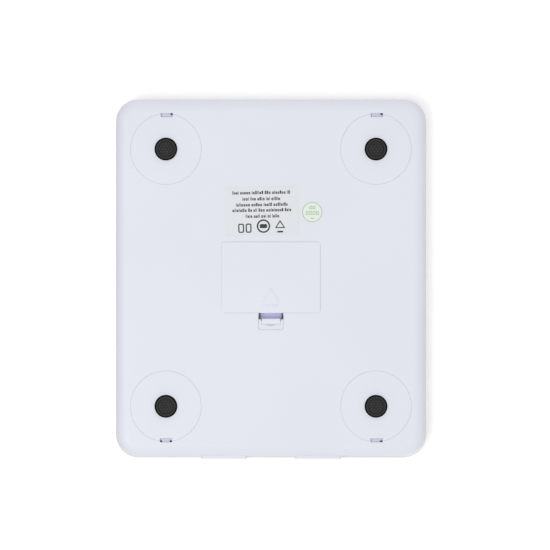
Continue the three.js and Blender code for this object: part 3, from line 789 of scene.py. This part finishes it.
def make_platform():
    low, high = (Vector(corner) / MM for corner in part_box("platform_glass"))
    width = high.x - low.x
    depth = high.y - low.y + GLASS_LIP
    middle_y = centre_of("platform_glass").y - GLASS_LIP / 2
    slab = prism(rounded_outline(width, depth, GLASS_CORNER, 20, 0, middle_y), GLASS_LOW, high.z)
    soften(slab, 0.45, 3)
    finish_piece(slab, "glass_plate", "base", platform_glass, ["platform_glass"])
    opening = window_outline(WINDOW_SIZE, 0, WINDOW_CORNER)
    sheet_outline = rounded_outline(width - 2 * PRINT_INSET, depth - 2 * PRINT_INSET,
                                    GLASS_CORNER - PRINT_INSET, 20, 0, middle_y)
    layers = (
        ("white_print", print_white, PRINT_BACK, GLASS_LOW + PRINT_BITE, ["platform_print"]),
        ("print_backing", print_grey, GLASS_LOW - 0.3, PRINT_BACK, ()),
    )
    for name, look, low_z, high_z, nodes in layers:
        sheet = prism(sheet_outline, low_z, high_z)
        cut(sheet, prism(opening, low_z - 1, high_z + 1))
        soften(sheet, 0)
        finish_piece(sheet, name, "base", look, nodes)
    mask = prism(window_outline(WINDOW_SIZE, 0.1, WINDOW_CORNER), GLASS_LOW - 0.2, GLASS_LOW + PRINT_BITE)
    cut(mask, prism(window_outline(VIEW_SIZE, 0, 1.2, 6), GLASS_LOW - 1, GLASS_LOW + 1))
    soften(mask, 0)
    finish_piece(mask, "window_mask", "base", print_black)


# Each segment of a digit: its place across and up, from the middle, and whether it lies flat.
SEGMENTS = (
    (0.0, 1.0, True), (-0.5, 0.5, False), (0.5, 0.5, False), (0.0, 0.0, True),
    (-0.5, -0.5, False), (0.5, -0.5, False), (0.0, -1.0, True),
)


def segment_outline(digit_x, across, up, flat):
    x = digit_x + across * 2 * DIGIT_HALF_WIDTH
    y = WINDOW_Y + up * DIGIT_HALF_HEIGHT
    length = 2 * ((DIGIT_HALF_WIDTH if flat else DIGIT_HALF_HEIGHT / 2) - SEGMENT_GAP)
    size = (length, DIGIT_STROKE) if flat else (DIGIT_STROKE, length)
    return rounded_outline(*size, 0.4, 3, x, y)


def make_display():
    """The LCD glass with the faint shapes of its unlit segments."""
    low, high = (Vector(corner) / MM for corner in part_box("lcd_glass"))
    size = high - low
    middle = centre_of("lcd_glass")
    plate = prism(rounded_outline(size.x, size.y, 0.4, 4, middle.x, middle.y), low.z, high.z)
    soften(plate, 0.15)
    finish_piece(plate, "lcd_plate", "base", lcd_front, ["lcd_glass"])
    outlines = []
    for digit in range(4):
        digit_x = DIGIT_START + DIGIT_PITCH * digit
        outlines += [segment_outline(digit_x, *segment) for segment in SEGMENTS]
    outlines.append(circle_outline(0.65, 16, DIGIT_PITCH, WINDOW_Y - 6.2))
    segments = gather([prism(outline, high.z - SEGMENT_RISE, high.z + SEGMENT_RISE) for outline in outlines])
    soften(segments, 0)
    finish_piece(segments, "lcd_segments", "base", lcd_ghost)


# ---------- feet ----------

def disc_profile():
    """A foot's disc with its rounded rim, the hole for the pad, the flange inside the case and the stem."""
    edge = arc(DISC_RADIUS - 0.25, DISC_LOW + 0.25, 0.25, -90, 0, 4)
    rim = arc(HOLE_RADIUS + 0.12, DISC_LOW + 0.12, 0.12, 180, 270, 4)
    seat = [(0, 3.0), (PAD_RADIUS + 0.12, 3.0), (PAD_RADIUS + 0.12, 2.0), (HOLE_RADIUS, 1.98)]
    flange = [(DISC_RADIUS, FLANGE_LOW), (FLANGE_RADIUS, FLANGE_LOW), (FLANGE_RADIUS, FLANGE_HIGH),
              (18.6, FLANGE_HIGH)]
    stem = [(18.0, FLOOR_TOP), (7.4, FLOOR_TOP), (7.0, 7.0), (0, 7.0)]
    return [*seat, *rim, *edge, *flange, *stem]


def pad_profile():
    """Sole of a pad: a raised ring round a sunken middle, steep sides, a thin flange below the disc."""
    side = arc(SOLE_RADIUS - SOLE_EDGE, SOLE_EDGE, SOLE_EDGE, -90, 0, 5)
    ring = [(4.25, PAD_WELL), (4.32, 0.3), (4.45, 0.08), (4.6, 0.0)]
    return [(0, PAD_WELL), *ring, *side, (5.6, 1.5), (5.7, 2.35), (0, 2.35)]


def painted_shade_ring_profile():
    """A near-black ring that shows round a pad: painted shade, standing in for the shadow in the gap round
    the pad.
    """
    lip = HOLE_RADIUS - 0.05
    face = [(0, 2.36), (5.6, 2.36), (5.9, 2.4), (6.2, 2.2), (lip, 1.95), (lip, 1.9)]
    return [*face, (6.5, 1.9), (6.5, 2.9), (0, 2.9)]


def pad_nubs(x, y):
    """Small worn domes in staggered rows inside the pad's ring."""
    nubs = []
    root = PAD_WELL + 0.05
    dome = [(0, 0.1), (0.24, 0.12), (0.4, 0.22), (0.5, 0.42), (0.54, root), (0, root)]
    for row in range(-2, 3):
        for column in range(-3, 4):
            nub_x = (column + 0.5 * (row % 2)) * NUB_PITCH
            nub_y = row * NUB_PITCH * 0.866
            if math.hypot(nub_x, nub_y) < NUB_FIELD:
                nubs.append(turned(dome, 14, x + nub_x, y + nub_y))
    return gather(nubs)


def make_foot(name, foot, outward):
    body = f"foot_{name}"
    disc = turned(disc_profile(), 144, foot.x, foot.y)
    cut(disc, slot_cutter(name, foot, outward, FOOT_TOP))
    soften(disc, 0.05)
    finish_piece(disc, f"disc_{name}", body, case_plastic, [f"foot_disc_{name}"])
    rubber_parts = (
        ("pad", turned(pad_profile(), 72, foot.x, foot.y), pad_rubber, [f"foot_pad_{name}"]),
        # The ring round the pad is painted shade: near-black rubber in place of the shadow in the gap.
        ("pad_painted_shade_ring", turned(painted_shade_ring_profile(), 72, foot.x, foot.y), painted_shade_rubber, ()),
        ("pad_nubs", pad_nubs(foot.x, foot.y), nub_rubber, ()),
    )
    for label, obj, look, nodes in rubber_parts:
        soften(obj, 0)
        finish_piece(obj, f"{label}_{name}", body, look, nodes)


# ---------- battery door and latch ----------

def triangle(apex_y, base_y, half, radius=0.5, steps=4):
    """A triangle that points to the rear, with rounded corners."""
    corners = [Vector((0, apex_y)), Vector((-half, base_y)), Vector((half, base_y))]
    points = []
    for i, corner in enumerate(corners):
        before = (corners[i - 1] - corner).normalized() * radius
        after = (corners[(i + 1) % 3] - corner).normalized() * radius
        for step in range(steps + 1):
            t = step / steps
            point = corner + before * (1 - t) ** 2 + after * t**2
            points.append((point.x, point.y))
    return points


def bend(from_angle, to_angle, half):
    """Part of the spring's arch, from one angle to the next."""
    outer = arc(ARCH_Y, ARCH_Z, ARCH_INNER + ARCH_THICK, from_angle, to_angle, 14)
    inner = arc(ARCH_Y, ARCH_Z, ARCH_INNER, to_angle, from_angle, 14)
    return along_x(outer + inner, -half, half)


def groove(start, end, width):
    """A straight engraved line, as a cutter."""
    start, end = Vector(start), Vector(end)
    side = (end - start).orthogonal().normalized() * width / 2
    outline = [start + side, start - side, end - side, end + side]
    if (outline[1] - outline[0]).cross(outline[2] - outline[1]) < 0:
        outline.reverse()
    return prism([(point.x, point.y) for point in outline], BELOW, BASE_Z + ENGRAVING)


# An arrowhead that points to the rear and is open at its lower corners: start, end and width of each line.
ENGRAVED_LINES = (
    ((0, -5.9), (5.0, -14.3), 0.22),
    ((0, -5.9), (-5.0, -14.3), 0.22),
    ((4.6, -15.2), (-4.7, -15.2), 0.24),
    ((2.4, -16.1), (-4.2, -16.1), 0.1),
)


def make_door_panel():
    depth = DOOR_REAR - DOOR_SHORT - DOOR_FRONT
    middle = DOOR_MIDDLE - DOOR_SHORT / 2
    outline = rounded_outline(2 * DOOR_HALF, depth, DOOR_CORNER, 8, DOOR_OFFSET, middle)
    plate = prism(outline, BASE_Z, FLOOR_TOP)
    additions = []
    for _, sign in SIDES:
        ends = (sign * HINGE_X - HINGE_HALF, sign * HINGE_X + HINGE_HALF)
        additions.append(block(*ends, HINGE_FRONT, HINGE_BACK, FLOOR_TOP - OVERLAP, HINGE_HIGH))
        additions.append(block(*ends, HINGE_FRONT, HINGE_TIP, HINGE_LOW, HINGE_HIGH))
    for rib_x in (-18, -9, 0, 9, 18):
        additions.append(block(rib_x - 0.5, rib_x + 0.5, -14, 15, FLOOR_TOP - 0.4, FLOOR_TOP + 0.35))
    join(plate, *additions)
    cut(plate, *[groove(*line) for line in ENGRAVED_LINES])
    soften(plate, 0.05)
    finish_piece(plate, "door_panel", "battery_door", door_plastic, ["battery_door"])


def make_door_arch():
    """The door's half of the bent spring, up to the top of the bend."""
    leg_y = ARCH_Y + ARCH_INNER
    low, high = FLOOR_TOP - 0.1, ARCH_Z + ARCH_LAP
    arch = block(-ARCH_HALF, ARCH_HALF, leg_y, leg_y + ARCH_THICK, low, high)
    join(arch, bend(0, 89.5, ARCH_HALF))
    soften(arch, 0.05)
    # The arch's lavender tint is painted shade for its place in the latch's hollow.
    finish_piece(arch, "door_arch", "battery_door", arch_painted_shade_plastic)


def make_latch():
    """The finger tab and the other half of the bent spring."""
    leg_y = ARCH_Y - ARCH_INNER
    thin_y = leg_y - ARCH_THICK
    tab_front = WELL_FRONT + LATCH_GAP
    tab_low = BASE_Z + 0.3
    knee = BASE_Z + 2.2
    tab = rounded_outline(2 * LATCH_HALF, leg_y - tab_front, 0.3, 5, 0, (leg_y + tab_front) / 2)
    latch = prism(tab, tab_low, tab_low + 1.1)
    low = tab_low + ARCH_LAP
    slope = [(thin_y, low), (leg_y, low), (leg_y + LEG_SLOPE, knee), (thin_y, knee)]
    join(latch, along_x(slope, -LATCH_HALF, LATCH_HALF))
    soften(latch, 0.1)
    finish_piece(latch, "latch_tab", "door_latch", door_plastic, ["door_latch"])
    low, high = knee + 0.05, ARCH_Z + ARCH_LAP
    leg = [(thin_y, low), (leg_y + LEG_SLOPE, low), (leg_y, high), (thin_y, high)]
    arch = along_x(leg, -LATCH_HALF, LATCH_HALF)
    join(arch, bend(90.5, 180, ARCH_HALF))
    soften(arch, 0.05)
    # The arch's lavender tint is painted shade for its place in the latch's hollow.
    finish_piece(arch, "latch_arch", "door_latch", arch_painted_shade_plastic)


# ---------- battery compartment ----------

def turned_along_x(profile, steps, middle):
    """Turns a (radius, x) profile about a line along X through the given point."""
    obj = turned(profile, steps)
    obj.data.transform(Matrix.Translation(middle) @ Matrix.Rotation(math.pi / 2, 4, "Y"))
    return obj


def make_cells():
    edge = 0.45
    foot = arc(CELL_RADIUS - edge, edge - CELL_HALF, edge, -90, 0, 5)
    shoulder = arc(CELL_RADIUS - 0.5, CELL_HALF - 1.7, 0.5, 0, 90, 5)
    negative_end = [(0, 0.25 - CELL_HALF), (3.3, 0.25 - CELL_HALF), (3.6, -CELL_HALF)]
    positive_end = [(2.3, CELL_HALF - 1.2), (1.95, CELL_HALF - 1.0), (1.9, CELL_HALF - 0.25),
                    (1.65, CELL_HALF), (0, CELL_HALF)]
    profile = [*negative_end, *foot, *shoulder, *positive_end]
    for name, facing in CELL_ROWS:
        middle = centre_of(f"battery_cell_{name}")
        cell = turned_along_x([(radius, x * facing) for radius, x in profile], 64, middle)
        soften(cell, 0)
        ends = [(CENTRE.x + middle.x + way * facing * CELL_HALF) * MM for way in (-1, 1)]
        jacket = cell_jacket(f"cell_jacket_{name}", *ends)
        finish_piece(cell, f"cell_{name}", "base", jacket, [f"battery_cell_{name}"])


def spring_rings(middle, facing, steps=110, sides=10):
    """Rings round the wire of a conical spring that winds along X."""
    rings = []
    for step in range(steps + 1):
        t = step / steps
        angle = 2 * math.pi * SPRING_TURNS * t
        outward = Vector((0, math.cos(angle), math.sin(angle)))
        spot = Vector((facing * (SPRING_LENGTH * t - SPRING_BASE_X), middle.y, middle.z))
        spot += outward * (SPRING_RADIUS - SPRING_TAPER * t)
        around = circle_outline(SPRING_WIRE, sides)
        rings.append([spot + outward * across + Vector((along, 0, 0)) for across, along in around])
    return rings


def make_springs():
    """Conical contact springs as smooth wound wire."""
    for name, facing in CELL_ROWS:
        spring = loft(spring_rings(centre_of(f"contact_spring_{name}"), facing))
        soften(spring, 0)
        finish_piece(spring, f"spring_{name}", "base", contact_nickel,
                     [f"contact_spring_{name}"])


# ---------- buttons ----------

def make_buttons():
    flange_side, flange_half = BUTTON_FLANGE
    wide = BUTTON_WIDTH / 2 + flange_side
    for side, sign in SIDES:
        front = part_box(f"button_{side}")[0][1] / MM - CENTRE.y - BUTTON_CROWN
        x = sign * BUTTON_X
        cap = along_y(button_outline(x), front, CAP_BACK)
        join(cap, block(x - wide, x + wide, FLANGE_FRONT, FLANGE_BACK,
                        BUTTON_Z - flange_half, BUTTON_Z + flange_half))
        soften(cap, 0.35, 4)
        # The caps' plastic is brighter than the case's: painted light.
        finish_piece(cap, f"button_cap_{side}", f"button_{side}", button_plastic_painted_light,
                     [f"button_{side}"])


# ---------- label and sticker ----------

def ink(outline, low):
    return prism(outline, low - INK_BULGE, low + INK_SINK)


def hollow_ink(outer, inner, low):
    return cut(ink(outer, low), prism(inner, low - 1, low + 1))


def frame_mark(x, y, wide, tall, stroke, low, radius=0.25):
    """A small empty frame of printed ink."""
    outer = rounded_outline(wide, tall, radius, 3, x, y)
    inner = rounded_outline(wide - 2 * stroke, tall - 2 * stroke, max(radius - stroke, 0.03), 3, x, y)
    return hollow_ink(outer, inner, low)


def bar_mark(x, y, wide, tall, low):
    return ink(rounded_outline(wide, tall, min(wide, tall) * 0.3, 3, x, y), low)


def ring_mark(x, y, radius, stroke, low, steps=48):
    return hollow_ink(circle_outline(radius, steps, x, y), circle_outline(radius - stroke, steps, x, y), low)


def stand_in_line(y, width, low, generator):
    """One line of stand-in print: rows of small frames and bars, with no letters in them."""
    marks = []
    x = width / 2
    base = y - TEXT_TALL / 2
    left_in_word = generator.randint(3, 9)
    while x > -width / 2 + 0.4:
        tall = generator.choice((TEXT_SMALL, TEXT_SMALL, TEXT_SMALL, TEXT_TALL))
        wide = generator.uniform(0.75, 1.15)
        if generator.random() < BAR_SHARE:
            wide = BAR_WIDTH
            marks.append(bar_mark(x - wide / 2, base + TEXT_TALL / 2, wide, TEXT_TALL, low))
        else:
            marks.append(frame_mark(x - wide / 2, base + tall / 2, wide, tall, TEXT_STROKE, low))
        x -= wide + MARK_GAP
        left_in_word -= 1
        if left_in_word == 0:
            x -= WORD_GAP
            left_in_word = generator.randint(2, 9)
    return marks


def plain_shapes(low):
    """Three plain shapes where such labels carry their marks: two frames, a ring with a bar, and a peak."""
    marks = [frame_mark(x, -9.6, 3.3, 5.2, 0.7, low, 0.9) for x in (7.6, 11.8)]
    marks.append(ring_mark(-0.8, -8.6, 3.8, 0.85, low))
    marks.append(bar_mark(-0.8, -8.6, 4.2, 2.3, low))
    peak = hollow_ink(triangle(-5.2, -9.9, 2.9), triangle(-6.4, -9.35, 1.95, 0.2), low)
    peak.data.transform(Matrix.Translation((-10.2, 0, 0)))
    marks.append(peak)
    marks.append(bar_mark(-10.2, -11.9, 3.3, 0.95, low))
    return marks


def make_label():
    """The rating label: pale film with generic stand-in print, tilted a little as it was stuck on."""
    middle = centre_of("rating_label")
    film = prism(rounded_outline(*LABEL_SIZE, 0.6, 6), LABEL_LOW, FILM_TOP)
    generator = random.Random(7)
    marks = []
    for y, width in LABEL_LINES:
        marks += stand_in_line(y, width, LABEL_LOW, generator)
    printed = gather(marks + plain_shapes(LABEL_LOW))
    turn = Matrix.Rotation(math.radians(LABEL_TILT), 4, "Z")
    tilt = Matrix.Translation((middle.x, middle.y, 0)) @ turn
    sheets = (
        (film, "label_film", label_paper, ["rating_label"]),
        (printed, "label_print", label_ink, ()),
    )
    for obj, name, look, nodes in sheets:
        soften(obj, 0)
        obj.data.transform(tilt)
        finish_piece(obj, name, "base", look, nodes)


def make_sticker():
    x, y, _ = centre_of("inspection_sticker")
    low = STICKER_LOW
    film = prism(circle_outline(STICKER_RADIUS, 72, x, y), low, FILM_TOP)
    soften(film, 0)
    finish_piece(film, "sticker_disc", "base", sticker_film, ["inspection_sticker"])
    marks = [ring_mark(x, y, STICKER_RADIUS - 0.1, 0.3, low, 72)]
    marks += [frame_mark(x + across, y + 2.6, 1.4, 1.8, 0.3, low) for across in (-0.9, 0.9)]
    marks += [frame_mark(x + across, y - 0.5, 1.5, 2.0, 0.3, low) for across in (-2.9, -0.97, 0.97, 2.9)]
    marks.append(bar_mark(x, y - 3.5, 1.9, 0.45, low))
    printed = gather(marks)
    soften(printed, 0)
    finish_piece(printed, "sticker_print", "base", sticker_ink)


# ---------- CAD nodes that keep their own shape ----------

CAD_LOOKS = {
    "platform_tape": tape_foam,
    "main_board": board_laminate,
    "controller_drop": black_resin,
    "converter_chip": black_plastic,
    "radio_module": shield_steel,
    "crystal": shield_steel,
    "lcd_backlight": backlight_white,
    "lcd_contact_strip": black_plastic,
    "battery_lead_left": wire_black,
    "battery_lead_right": wire_red,
}
for side_name, _ in SIDES:
    CAD_LOOKS[f"contact_single_{side_name}"] = contact_nickel
    CAD_LOOKS[f"contact_pair_{side_name}"] = contact_nickel
    CAD_LOOKS[f"switch_{side_name}"] = black_plastic
    CAD_LOOKS[f"switch_plunger_{side_name}"] = black_plastic
for corner, _, _ in FEET:
    CAD_LOOKS[f"load_cell_{corner}"] = cell_steel
    CAD_LOOKS[f"load_cell_carrier_{corner}"] = carrier_plastic
    CAD_LOOKS[f"cell_lead_{corner}"] = wire_white
    CAD_LOOKS[f"case_screw_{corner}"] = screw_steel


def dress_cad_nodes():
    for node, look in CAD_LOOKS.items():
        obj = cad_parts[node]
        for slot_entry in obj.material_slots:
            slot_entry.material = look


# ---------- stage ----------

PICTURE_WIDTH = 310.5       # millimetres of the underside that the picture spans
LENS = 150.0
SENSOR = 36.0
AIM = (-2.27, 1.51)         # from the middle of the case to the middle of the picture
NORTH = (0, 1, 0)
FLOOR_Z = -0.3
BACKDROP_Z = 21.4           # just past the glass, on which the scale lies in the picture
WORLD_LEVEL = 1.025
WORLD_LEAN = (-0.11, 0.02, 0.12)        # where more of the light comes from
WORLD_SIDE_TINT = (1.0, 0.94, 1.01)
WORLD_SIDE_DIP = 0.52       # how much darker it is to the left and right
BACKDROP_GLOW = 0.15
WHITE_LIGHT = (1.0, 1.0, 1.0, 1.0)
KEY_DIRECTION = (0.36, -0.25, -0.9)
KEY_DISTANCE = 3.0
KEY_SIZE = 1.3
KEY_POWER = 25.6
FILL_PLACE = (-0.7, -0.9, 1.3)
FILL_SIZE = 1.0
FILL_POWER = 3
PAPER_HALF = 4000
FLOOR_PAPER = (0.86, 0.86, 0.865)
BACKDROP_PAPER = (0.95, 0.95, 0.95)


def look_along(obj, target, up):
    """Points an object's -Z at the target, with its Y towards up."""
    back = (obj.location - Vector(target)).normalized()
    side = Vector(up).cross(back).normalized()
    turn = Matrix((side, back.cross(side), back)).transposed()
    obj.rotation_euler = turn.to_euler()


def make_camera():
    data = bpy.data.cameras.new("camera")
    data.lens = LENS
    data.sensor_width = SENSOR
    camera = bpy.data.objects.new("camera", data)
    bpy.context.scene.collection.objects.link(camera)
    distance = PICTURE_WIDTH * LENS / SENSOR
    aim = (CENTRE + Vector((*AIM, BASE_Z))) * MM
    camera.location = aim - Vector((0, 0, distance * MM))
    look_along(camera, aim, NORTH)
    bpy.context.scene.camera = camera


def area_light(name, location, size, power):
    """A square light that points at the scale."""
    data = bpy.data.lights.new(name, "AREA")
    data.shape = "SQUARE"
    data.size = size
    data.energy = power
    light = bpy.data.objects.new(name, data)
    light.location = location
    bpy.context.scene.collection.objects.link(light)
    look_along(light, (0, 0, 0), NORTH)


def make_world():
    """Soft light from every side, a little stronger in some directions, and plain white where it is seen."""
    world = bpy.data.worlds.new("studio")
    bpy.context.scene.world = world
    world.use_nodes = True
    tree = world.node_tree
    direction = new_node(tree, "TexCoord").outputs["Generated"]
    lean = new_node(tree, "VectorMath")
    lean.operation = "DOT_PRODUCT"
    set_input(lean.inputs[0], direction)
    set_input(lean.inputs[1], WORLD_LEAN)
    across = new_node(tree, "SeparateXYZ", vector=direction).outputs["X"]
    sideways = calculate(tree, "MULTIPLY", across, across)
    dipped = calculate(tree, "MULTIPLY_ADD", sideways, -WORLD_SIDE_DIP, lean.outputs["Value"])
    light = tree.nodes["Background"]
    feed(light, strength=calculate(tree, "ADD", dipped, WORLD_LEVEL),
         color=mix_colors(tree, sideways, WHITE_LIGHT, WORLD_SIDE_TINT))
    seen = new_node(tree, "Background", color=WHITE_LIGHT)
    is_seen = new_node(tree, "LightPath").outputs["Is Camera Ray"]
    feed(tree.nodes["World Output"], surface=mix_shaders(tree, is_seen, light, seen))


def make_lights():
    area_light("key_below", Vector(KEY_DIRECTION) * KEY_DISTANCE, KEY_SIZE, KEY_POWER)
    area_light("key_above", FILL_PLACE, FILL_SIZE, FILL_POWER)


def one_sided(name, color, glow):
    """Pale paper that is only there for whoever stands on its front side."""
    material = moulded(name, color, (0.7, 0.8), 300, 0.02, 0.004)
    tree = material.node_tree
    shader = tree.nodes["Principled BSDF"]
    feed(shader, emission_color=WHITE_LIGHT, emission_strength=glow)
    is_back = new_node(tree, "NewGeometry").outputs["Backfacing"]
    clear = new_node(tree, "BsdfTransparent")
    feed(tree.nodes["Material Output"], surface=mix_shaders(tree, is_back, shader, clear))
    return material


def paper_sheet(name, z, face_up, color, glow):
    """A sheet of studio paper that lets all light through to the scale."""
    corners = [(x * PAPER_HALF, y * PAPER_HALF, z) for x, y in ((-1, -1), (1, -1), (1, 1), (-1, 1))]
    bm = bmesh.new()
    bm.faces.new([bm.verts.new(point) for point in (corners if face_up else reversed(corners))])
    sheet = to_object(bm, name)
    sheet.data.transform(Matrix.Scale(MM, 4))
    sheet.data.materials.append(one_sided(f"{name}_paper", color, glow))
    sheet.visible_diffuse = False
    sheet.visible_glossy = False
    sheet.visible_transmission = False
    sheet.visible_shadow = False


make_camera()
make_world()
make_lights()
paper_sheet("floor", FLOOR_Z, True, FLOOR_PAPER, 0)
paper_sheet("backdrop", BACKDROP_Z, False, BACKDROP_PAPER, BACKDROP_GLOW)
make_bottom_case()
make_top_case()
make_platform()
make_display()
for foot_facts in FEET:
    make_foot(*foot_facts)
    make_lug(*foot_facts)
make_door_panel()
make_door_arch()
make_latch()
make_cells()
make_springs()
make_buttons()
make_label()
make_sticker()
dress_cad_nodes()

bpy.context.scene.view_settings.view_transform = "Standard"
